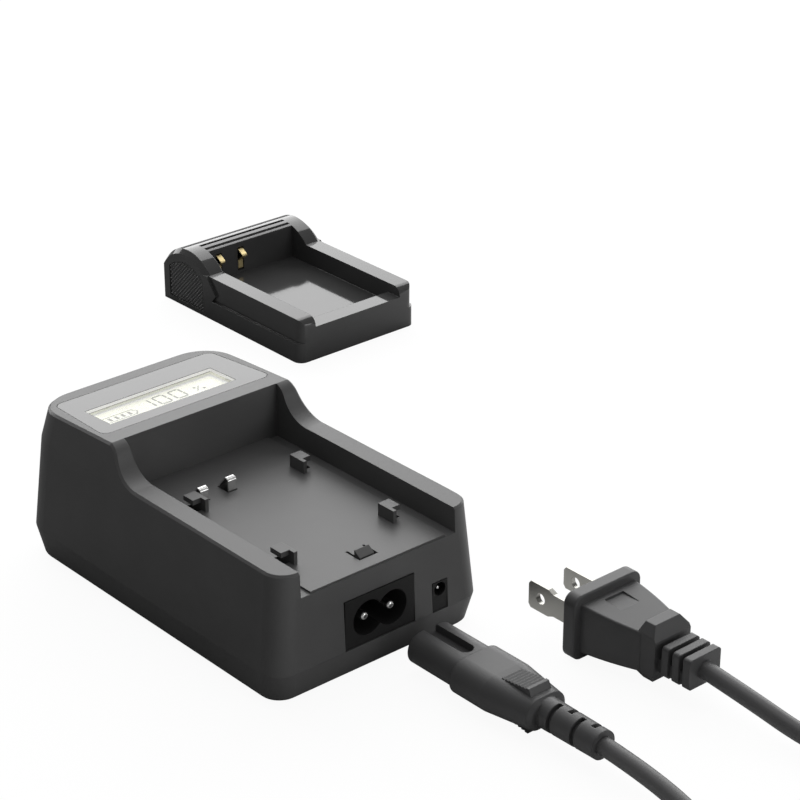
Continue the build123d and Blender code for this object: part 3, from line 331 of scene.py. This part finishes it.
# As the floor is seen: a white glow, with enough of a pale dull surface in it to hold the shadow
FLOOR_PALE = (0.9, 0.9, 0.9, 1.0)
FLOOR_GLOW = 1.03
FLOOR_GLOW_SHARE = 0.91


class CHARGER_OT_stage(bpy.types.Operator):
    """Camera, lamps, white surround and floor"""

    bl_idname = "charger.stage"
    bl_label = "Stage"

    def execute(self, context):
        context.scene.view_settings.view_transform = "Standard"
        self.camera(context.scene)
        for lamp in LAMPS:
            self.lamp(*lamp)
        self.surround(context.scene)
        self.floor(context)
        return {"FINISHED"}

    def camera(self, scene):
        """A long lens, from the left of the front and above."""
        data = bpy.data.cameras.new("Camera")
        data.lens = CAMERA_LENS
        data.sensor_width = 36.0
        data.clip_start = 0.01
        camera = bpy.data.objects.new("Camera", data)
        scene.collection.objects.link(camera)
        camera.location = CAMERA_PLACE
        camera.rotation_euler = (math.radians(CAMERA_TILT), 0.0, math.radians(CAMERA_TURN))
        scene.camera = camera

    def lamp(self, name, place, target, size, power):
        """A rectangular softbox turned towards a point."""
        data = bpy.data.lights.new(name, "AREA")
        data.shape = "RECTANGLE"
        data.size, data.size_y = size
        data.energy = power
        lamp = bpy.data.objects.new(name, data)
        bpy.context.scene.collection.objects.link(lamp)
        lamp.location = place
        lamp.rotation_euler = (Vector(place) - Vector(target)).to_track_quat("Z", "Y").to_euler()

    def surround(self, scene):
        """White where it is seen, and a dim even light on the object."""
        world = bpy.data.worlds.new("White surround")
        scene.world = world
        world.use_nodes = True
        tree = world.node_tree
        tree.nodes.clear()
        out = tree.nodes.new("ShaderNodeOutputWorld")
        dim = add_node(tree, "ShaderNodeBackground", Color=WHITE, Strength=SURROUND_LIGHT)
        white = add_node(tree, "ShaderNodeBackground", Color=WHITE, Strength=1.0)
        self.show(tree, dim.outputs["Background"], white.outputs["Background"], out)

    def floor(self, context):
        """The floor that the charger, its cradle and its lead lie on."""
        clear_selection()
        bpy.ops.mesh.primitive_plane_add(size=FLOOR_SIZE, location=(0.0, 0.0, 0.0))
        floor = context.object
        floor.name = "Floor"
        material = bpy.data.materials.new("White floor")
        material.use_nodes = True
        tree = material.node_tree
        tree.nodes.clear()
        out = tree.nodes.new("ShaderNodeOutputMaterial")
        place = tree.nodes.new("ShaderNodeTexCoord")
        split = tree.nodes.new("ShaderNodeSeparateXYZ")
        tree.links.new(place.outputs["Object"], split.inputs["Vector"])
        side = tree.nodes.new("ShaderNodeMath")
        side.operation = "SUBTRACT"
        tree.links.new(split.outputs["X"], side.inputs[0])
        tree.links.new(split.outputs["Y"], side.inputs[1])
        bounce = add_node(
            tree, "ShaderNodeMapRange",
            From_Min=BOUNCE_PLACES[0], From_Max=BOUNCE_PLACES[1],
            To_Min=BOUNCE_SHADES[0], To_Max=BOUNCE_SHADES[1],
        )
        tree.links.new(side.outputs["Value"], bounce.inputs["Value"])
        dull = tree.nodes.new("ShaderNodeBsdfDiffuse")
        tree.links.new(bounce.outputs["Result"], dull.inputs["Color"])
        pale = add_node(tree, "ShaderNodeBsdfDiffuse", Color=FLOOR_PALE)
        bright = add_node(tree, "ShaderNodeEmission", Color=WHITE, Strength=FLOOR_GLOW)
        shown = add_node(tree, "ShaderNodeMixShader", Fac=FLOOR_GLOW_SHARE)
        tree.links.new(pale.outputs["BSDF"], shown.inputs[1])
        tree.links.new(bright.outputs["Emission"], shown.inputs[2])
        self.show(tree, dull.outputs["BSDF"], shown.outputs["Shader"], out)
        floor.data.materials.append(material)

    def show(self, tree, unseen, seen, out):
        """One shader where the camera looks, straight or through a clear piece, else the other."""
        path = tree.nodes.new("ShaderNodeLightPath")
        either = tree.nodes.new("ShaderNodeMath")
        either.operation = "MAXIMUM"
        tree.links.new(path.outputs["Is Camera Ray"], either.inputs[0])
        tree.links.new(path.outputs["Is Transmission Ray"], either.inputs[1])
        mix = tree.nodes.new("ShaderNodeMixShader")
        tree.links.new(either.outputs["Value"], mix.inputs["Fac"])
        tree.links.new(unseen, mix.inputs[1])
        tree.links.new(seen, mix.inputs[2])
        tree.links.new(mix.outputs["Shader"], out.inputs["Surface"])


# Lead

# Route of the cord in millimetres: from the connector to the coil, and from the plug to the coil
CONNECTOR_ROUTE = [
    (9.7, -124.2, 6.3),
    (9.7, -142.0, 5.4),
    (6.6, -162.0, 3.0),
    (0.4, -181.0, 2.45),
    (-1.7, -198.5, 2.45),
]
PLUG_ROUTE = [
    (49.2, -119.6, 9.4),
    (49.2, -135.0, 8.0),
    (50.9, -152.0, 4.2),
    (54.7, -168.0, 2.7),
    (57.6, -184.0, 4.2),
    (58.3, -198.5, 6.4),
]
COIL_CENTRE = (29.5, -216.0)
COIL_OUTER = 31.2
COIL_PITCH = 4.8
COIL_LOW_Z = 2.45
COIL_LAYER = 4.75
TURN_POINTS = 16
INWARD_TURNS = 3
OUTWARD_TURNS = 2.5
CLIMB_TURNS = 0.25


def coil_points():
    """Two layers of turns: inwards on the floor, then outwards on top."""
    points = []
    for step in range(INWARD_TURNS * TURN_POINTS + 1):
        radius = COIL_OUTER - COIL_PITCH * step / TURN_POINTS
        points.append((step, radius, COIL_LOW_Z))
    inner = COIL_OUTER - INWARD_TURNS * COIL_PITCH
    for step in range(1, int(OUTWARD_TURNS * TURN_POINTS) + 1):
        radius = inner + COIL_PITCH * (step / TURN_POINTS)
        climb = min(1.0, step / (TURN_POINTS * CLIMB_TURNS))
        points.append((step, radius, COIL_LOW_Z + COIL_LAYER * climb))
    placed = []
    for step, radius, height in points:
        angle = math.pi + 2 * math.pi * step / TURN_POINTS
        x = COIL_CENTRE[0] + radius * math.cos(angle)
        y = COIL_CENTRE[1] + radius * math.sin(angle)
        placed.append((x, y, height))
    return placed


class CHARGER_OT_cord(bpy.types.Operator):
    """The mains cord, from the connector through its coil to the plug"""

    bl_idname = "charger.cord"
    bl_label = "Cord"

    def execute(self, context):
        sizes = context.scene.charger_sizes
        points = CONNECTOR_ROUTE + coil_points() + PLUG_ROUTE[::-1]
        data = bpy.data.curves.new("mains_cord", "CURVE")
        data.dimensions = "3D"
        data.bevel_depth = sizes.cord_diameter / 2
        data.bevel_resolution = 8
        data.resolution_u = 8
        data.use_fill_caps = True
        spline = data.splines.new("NURBS")
        spline.points.add(len(points) - 1)
        for point, place in zip(spline.points, points):
            point.co = (*vec(*place), 1.0)
        spline.order_u = 3
        spline.use_endpoint_u = True
        cord = bpy.data.objects.new("mains_cord", data)
        context.scene.collection.objects.link(cord)
        data.materials.append(FINISHES["cord_rubber"])
        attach(cord, "charger")
        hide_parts("cord_connector_end", "cord_plug_end", "cord_coil")
        return {"FINISHED"}


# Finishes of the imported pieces


class CHARGER_OT_finishes(bpy.types.Operator):
    """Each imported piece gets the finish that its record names"""

    bl_idname = "charger.finishes"
    bl_label = "Finishes"

    def execute(self, context):
        for part in frame["record"]["subparts"]:
            obj = frame["nodes"][part["node"]]
            obj.data.materials.clear()
            obj.data.materials.append(FINISHES[part["material_slot"]])
        return {"FINISHED"}


# Cradle: its grips, its rounded corners and its rail noses, in millimetres from the middle of its
# front edge

CRADLE = (121.5, 98.7)
CRADLE_HALF_WIDTH = 24.34
CRADLE_RAIL_HALF_WIDTH = 23.52
CRADLE_STEP_Z = 6.7
CRADLE_RAIL_TOP = 14.77
CORNER_STEPS = 8
OVERRUN = 1.0
MERGE = 0.000002
SMOOTH_ANGLE = 25

# Grip panels: their reach, how deep they are sunk, and the drop of their arched top
PANEL_Y = (51.0, 69.3)
PANEL_Z = (1.8, 16.0)
PANEL_SUNK = 0.4
ARCH_MIDDLE_Y = (PANEL_Y[0] + PANEL_Y[1]) / 2 + 1
ARCH_REACH = 9.6
ARCH_DROP = 3.4

# Pyramids of the grips: half widths of foot and tip as parts of the pitch
KNURL_FOOT = 0.34
KNURL_TIP = 0.10


def panel_top(y):
    """Height of the grip panel's arched edge at y."""
    return PANEL_Z[1] - ARCH_DROP * ((y - ARCH_MIDDLE_Y) / ARCH_REACH) ** 2


class CHARGER_OT_grips(bpy.types.Operator):
    """Pyramid knurling in the grip panels of the cradle's cheeks"""

    bl_idname = "charger.grips"
    bl_label = "Grips"

    def execute(self, context):
        sizes = context.scene.charger_sizes
        pitch = sizes.knurl_pitch / MM
        # Painted highlight: the pyramids are a lighter grey than the cradle's plastic, so that they
        # show as light dots the way lit knurling does.
        knurl = plastic("Knurl pyramids, painted highlight", (0.2, 0.2, 0.2), 0.38, 0.5, 0.0004, 0.000004, 0.0)
        for side, name in ((-1, "cradle_grip_left"), (1, "cradle_grip_right")):
            first = self.pyramid(context, side, pitch * MM, sizes.knurl_height)
            lift = sizes.knurl_height / MM / 2
            x = CRADLE[0] + side * (CRADLE_HALF_WIDTH - PANEL_SUNK + lift)
            copies = []
            for y, z in self.places(pitch):
                copy = first.copy()
                copy.data = first.data.copy()
                context.scene.collection.objects.link(copy)
                copy.location = vec(x, CRADLE[1] + y, z)
                copies.append(copy)
            bpy.data.objects.remove(first)
            grip = join(copies, name)
            finish_mesh(grip, knurl)
        return {"FINISHED"}

    def pyramid(self, context, side, pitch, height):
        """One blunt pyramid that points out of the cheek, its edges upright and level."""
        clear_selection()
        bpy.ops.mesh.primitive_cone_add(
            vertices=4, radius1=pitch * KNURL_FOOT, radius2=pitch * KNURL_TIP,
            depth=height, location=(0, 0, 0), rotation=(0, side * math.pi / 2, 0),
        )
        first = context.object
        bpy.ops.object.transform_apply(location=False, rotation=True, scale=False)
        bpy.ops.object.mode_set(mode="EDIT")
        bpy.ops.mesh.select_all(action="SELECT")
        bpy.ops.transform.rotate(
            value=math.pi / 4, orient_axis="X", orient_type="GLOBAL", center_override=(0, 0, 0)
        )
        bpy.ops.object.mode_set(mode="OBJECT")
        return first

    def places(self, pitch):
        """Places of the pyramids in staggered rows, under the panel's arched edge."""
        rows = int(2 * (PANEL_Z[1] - PANEL_Z[0]) / pitch) - 1
        columns = int((PANEL_Y[1] - PANEL_Y[0]) / pitch)
        for row in range(rows):
            z = PANEL_Z[0] + (row + 1) * pitch / 2
            for column in range(columns - row % 2):
                y = PANEL_Y[0] + (column + 0.5 + row % 2 / 2) * pitch
                if z <= panel_top(y) - pitch * 0.5:
                    yield y, z


def prism(name, outline, place, low, high):
    """Closed prism over an outline; place turns (first, second, along) into (x, y, z)."""
    count = len(outline)
    points = [place(*point, along) for along in (low, high) for point in outline]
    sides = [(i, (i + 1) % count, (i + 1) % count + count, i + count) for i in range(count)]
    ends = [tuple(reversed(range(count))), tuple(range(count, 2 * count))]
    points = [tuple(value * MM for value in point) for point in points]
    body = mesh_object(name, points, sides + ends)
    select_only(body)
    bpy.ops.object.mode_set(mode="EDIT")
    bpy.ops.mesh.select_all(action="SELECT")
    bpy.ops.mesh.normals_make_consistent(inside=False)
    bpy.ops.object.mode_set(mode="OBJECT")
    return body


def cut(body, cutter):
    """Takes the cutter's volume from the body, and removes the cutter."""
    select_only(body)
    bpy.ops.object.modifier_add(type="BOOLEAN")
    modifier = body.modifiers[-1]
    modifier.operation = "DIFFERENCE"
    modifier.solver = "EXACT"
    modifier.object = cutter
    before = len(body.data.polygons)
    bpy.ops.object.modifier_apply(modifier=modifier.name)
    if len(body.data.polygons) == before:
        raise RuntimeError(f"{cutter.name} took nothing from {body.name}")
    bpy.data.objects.remove(cutter)


class CHARGER_OT_cradle_shell(bpy.types.Operator):
    """The cradle's body with its rounded front corners and rail noses"""

    bl_idname = "charger.cradle_shell"
    bl_label = "Cradle shell"

    def execute(self, context):
        radius = context.scene.charger_sizes.cradle_corner / MM
        mesh = frame["nodes"]["cradle_body"].data.copy()
        shell = bpy.data.objects.new("cradle_shell", mesh)
        context.scene.collection.objects.link(shell)
        select_only(shell)
        context.tool_settings.mesh_select_mode = (False, False, True)
        bpy.ops.object.mode_set(mode="EDIT")
        bpy.ops.mesh.select_all(action="SELECT")
        bpy.ops.mesh.remove_doubles(threshold=MERGE)
        bpy.ops.mesh.customdata_custom_splitnormals_clear()
        bpy.ops.object.mode_set(mode="OBJECT")
        self.round_corners(shell, radius, CRADLE_HALF_WIDTH, -OVERRUN)
        self.round_corners(shell, radius, CRADLE_RAIL_HALF_WIDTH, CRADLE_STEP_Z)
        self.round_noses(shell, radius)
        select_only(shell)
        bpy.ops.object.shade_smooth_by_angle(angle=math.radians(SMOOTH_ANGLE))
        finish_mesh(shell, FINISHES["plate_plastic"])
        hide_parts("cradle_body")
        return {"FINISHED"}

    def quarter(self, radius):
        """A quarter turn that leaves a face: how far along it, and how far in."""
        turns = [math.radians(90 * step / CORNER_STEPS) for step in range(CORNER_STEPS + 1)]
        return [(radius * math.sin(turn), radius - radius * math.cos(turn)) for turn in turns]

    def round_corners(self, shell, radius, half_width, low):
        """Both upright front corners at that half width, from low upwards."""
        outline = [(half_width - radius, -OVERRUN)]
        outline += [(half_width - radius + along, inward) for along, inward in self.quarter(radius)]
        outline += [(half_width + OVERRUN, radius), (half_width + OVERRUN, -OVERRUN)]

        def left(x, y, z):
            return CRADLE[0] - x, CRADLE[1] + y, z

        def right(x, y, z):
            return CRADLE[0] + x, CRADLE[1] + y, z

        for place in (left, right):
            cut(shell, prism("cradle_corner", outline, place, low, CRADLE_RAIL_TOP + OVERRUN))

    def round_noses(self, shell, radius):
        """The front ends of both rails' tops."""
        start = CRADLE_RAIL_TOP - radius
        outline = [(-OVERRUN, start)]
        outline += [(inward, start + along) for along, inward in self.quarter(radius)]
        outline += [(radius, CRADLE_RAIL_TOP + OVERRUN), (-OVERRUN, CRADLE_RAIL_TOP + OVERRUN)]

        def across(y, z, x):
            return CRADLE[0] + x, CRADLE[1] + y, z

        reach = CRADLE_HALF_WIDTH + OVERRUN
        cut(shell, prism("rail_noses", outline, across, -reach, reach))


# Display: its face lies under the sloped top of the housing

FOOT_STAND = 0.6
HOUSING_TOP = 44.34
HOUSING_WALL_Y = 18.81
DISPLAY_SLOPE = math.radians(3.26)
DISPLAY_DEPTH = 1.8
# Lowest and highest part of a mark, from the face
MARK_RISE = (-0.01, 0.03)

# Window: its middle across, its width, its front edge and its length
WINDOW_X = -1.65
WINDOW_WIDTH = 41.85
WINDOW_FRONT = 28.87
WINDOW_LENGTH = 11.9

# Liner of the window: its wall, its play in the window, and the border beside it on the face
LINER_WALL = 0.12
LINER_PLAY = 0.02
LINER_RISE = (0.85, 1.7)
BORDER_OUTER = 0.15
BORDER_INNER = 1.3
BORDER_SIDE_END = 1.35
BORDER_PLAY = 0.2
BORDER_RISE = (0.02, 0.06)

# Marks: left edges and segments of the three figures, and the corners of both signs
FIGURES = ((-7.7, "bc"), (-2.5, "abcdef"), (2.8, "abcdef"))
FIGURE_Y = 33.1
FIGURE_STROKE = 0.5
SEGMENT_GAP = 0.12
PERCENT = (9.3, 33.6)
PERCENT_STROKE = 0.3
BATTERY = (-20.4, 32.9)
BATTERY_SIZE = (9.6, 3.3)
BATTERY_STROKE = 0.25
BATTERY_POLE = 0.7
BAR_FIRST = 1.2
BAR_PITCH = 2.1
BAR_WIDTH = 0.8
BAR_INSET = 0.7


def display_point(x, y, lift=0.0):
    """A point of the display's face at x and y, or lift above it."""
    fall = (y - HOUSING_WALL_Y) * math.tan(DISPLAY_SLOPE)
    height = FOOT_STAND + HOUSING_TOP - fall - DISPLAY_DEPTH * math.cos(DISPLAY_SLOPE)
    return vec(x, y, height + lift)


def plate(corners, rise=MARK_RISE):
    """A plate over the display's face with these corners, between two heights above it."""
    points = [display_point(x, y, lift) for lift in rise for x, y in corners]
    count = len(corners)
    ends = [tuple(reversed(range(count))), tuple(range(count, 2 * count))]
    sides = [(i, (i + 1) % count, count + (i + 1) % count, count + i) for i in range(count)]
    return mesh_object("plate", points, ends + sides)


def block(x0, y0, x1, y1, rise=MARK_RISE):
    """A rectangular plate over the display's face."""
    return plate([(x0, y0), (x1, y0), (x1, y1), (x0, y1)], rise)


class CHARGER_OT_display_marks(bpy.types.Operator):
    """Figures and battery sign of the display"""

    bl_idname = "charger.display_marks"
    bl_label = "Display marks"

    def execute(self, context):
        height = context.scene.charger_sizes.mark_height / MM
        marks = []
        for x, segments in FIGURES:
            marks.extend(self.figure(x, FIGURE_Y, height, segments))
        marks.extend(self.percent(*PERCENT, height * 0.5))
        marks.extend(self.battery(*BATTERY, *BATTERY_SIZE))
        display = join(marks, "display_marks")
        ink = plastic("Display segments", (0.36, 0.36, 0.34), 0.5, 0.2, 0.0006, 0.000002, 0.0)
        finish_mesh(display, ink)
        return {"FINISHED"}

    def bar(self, x0, y0, x1, y1, width):
        """A straight segment with pointed ends."""
        along = Vector((x1 - x0, y1 - y0)).normalized()
        across = Vector((-along.y, along.x)) * width / 2
        inner = width / 2
        a = Vector((x0, y0))
        b = Vector((x1, y1))
        corners = [
            a,
            a + along * inner - across,
            b - along * inner - across,
            b,
            b - along * inner + across,
            a + along * inner + across,
        ]
        return plate([(corner.x, corner.y) for corner in corners])

    def figure(self, x, y, height, segments):
        """One figure of straight segments, lettered clockwise from its top."""
        width = height * 0.62
        gap = SEGMENT_GAP
        half = height / 2
        lines = {
            "a": (x + gap, y + height, x + width - gap, y + height),
            "b": (x + width, y + height - gap, x + width, y + half + gap),
            "c": (x + width, y + half - gap, x + width, y + gap),
            "d": (x + gap, y, x + width - gap, y),
            "e": (x, y + half - gap, x, y + gap),
            "f": (x, y + height - gap, x, y + half + gap),
        }
        return [self.bar(*lines[segment], FIGURE_STROKE) for segment in segments]

    def percent(self, x, y, height):
        """A percent sign from a stroke and two small squares."""
        size = height * 0.3
        marks = [self.bar(x + 0.4, y, x + height * 0.9, y + height, PERCENT_STROKE)]
        for cx, cy in ((x + 0.4, y + height - size), (x + height * 0.9, y)):
            marks.append(block(cx, cy, cx + size, cy + size))
        return marks

    def battery(self, x, y, length, height):
        """A battery outline with its pole at the right, and four full bars."""
        end, pole = x + length, x + length + BATTERY_POLE
        top, low, high = y + height, y + height * 0.3, y + height * 0.7
        lines = (
            (x, y, end, y),
            (x, top, end, top),
            (x, y, x, top),
            (end, y, end, low),
            (end, high, end, top),
            (end, low, pole, low),
            (end, high, pole, high),
            (pole, low, pole, high),
        )
        marks = [self.bar(*line, BATTERY_STROKE) for line in lines]
        for index in range(4):
            x0 = x + BAR_FIRST + index * BAR_PITCH
            marks.append(block(x0, y + BAR_INSET, x0 + BAR_WIDTH, top - BAR_INSET))
        return marks


class CHARGER_OT_window_liner(bpy.types.Operator):
    """Pale edge of the display's window, and the pale border at the far sides of its face, both
    glowing with painted light
    """

    bl_idname = "charger.window_liner"
    bl_label = "Window liner"

    def execute(self, context):
        left, right = WINDOW_X - WINDOW_WIDTH / 2, WINDOW_X + WINDOW_WIDTH / 2
        front, rear = WINDOW_FRONT, WINDOW_FRONT + WINDOW_LENGTH
        wall, play = LINER_WALL, LINER_PLAY
        pieces = []
        for x0, y0, x1, y1 in (
            (left, front, right, front + wall),
            (left, rear - wall, right, rear),
            (left, front, left + wall, rear),
            (right - wall, front, right, rear),
        ):
            pieces.append(block(x0 + play, y0 + play, x1 - play, y1 - play, LINER_RISE))
        pieces.append(block(
            left + BORDER_PLAY, rear - BORDER_INNER, right - BORDER_PLAY, rear - BORDER_OUTER,
            BORDER_RISE,
        ))
        pieces.append(block(
            right - BORDER_INNER, front + BORDER_PLAY, right - BORDER_OUTER, rear - BORDER_SIDE_END,
            BORDER_RISE,
        ))
        liner = join(pieces, "window_liner")
        pale = plastic("Window edge with painted glow", (0.72, 0.72, 0.71), 0.4, 0.3, 0.0006, 0.000004, 0.0)
        # Painted light: the window's edge and border glow so that their upright walls look lit.
        glow(pale, (0.8, 0.8, 0.78), 0.38)
        finish_mesh(liner, pale)
        return {"FINISHED"}


# Panel and registration


class CHARGER_PT_panel(bpy.types.Panel):
    """Lists the charger's pieces and settings"""

    bl_idname = "CHARGER_PT_panel"
    bl_label = "Camera Battery Charger"
    bl_space_type = "VIEW_3D"
    bl_region_type = "UI"
    bl_category = "Charger"

    def draw(self, context):
        column = self.layout.column()
        for group in (context.scene.charger_sizes, context.scene.charger_colours):
            for name in group.__annotations__:
                column.prop(group, name)
        for operator in STEPS:
            column.operator(operator.bl_idname)


STEPS = (
    CHARGER_OT_stage,
    CHARGER_OT_cord,
    CHARGER_OT_finishes,
    CHARGER_OT_grips,
    CHARGER_OT_cradle_shell,
    CHARGER_OT_display_marks,
    CHARGER_OT_window_liner,
)
CLASSES = (ChargerColours, ChargerSizes, *STEPS, CHARGER_PT_panel)


def register():
    """Adds the settings, the operators and the panel."""
    for cls in CLASSES:
        bpy.utils.register_class(cls)
    bpy.types.Scene.charger_colours = bpy.props.PointerProperty(type=ChargerColours)
    bpy.types.Scene.charger_sizes = bpy.props.PointerProperty(type=ChargerSizes)


def unregister():
    """Takes away what register added."""
    del bpy.types.Scene.charger_sizes
    del bpy.types.Scene.charger_colours
    for cls in reversed(CLASSES):
        bpy.utils.unregister_class(cls)


def main():
    """Builds the finishes, then each piece in turn."""
    register()
    FINISHES.update(make_materials(bpy.context.scene.charger_colours))
    bpy.ops.charger.stage()
    bpy.ops.charger.cord()
    bpy.ops.charger.finishes()
    bpy.ops.charger.grips()
    bpy.ops.charger.cradle_shell()
    bpy.ops.charger.display_marks()
    bpy.ops.charger.window_liner()
    clear_selection()


if __name__ == "__main__":
    main()
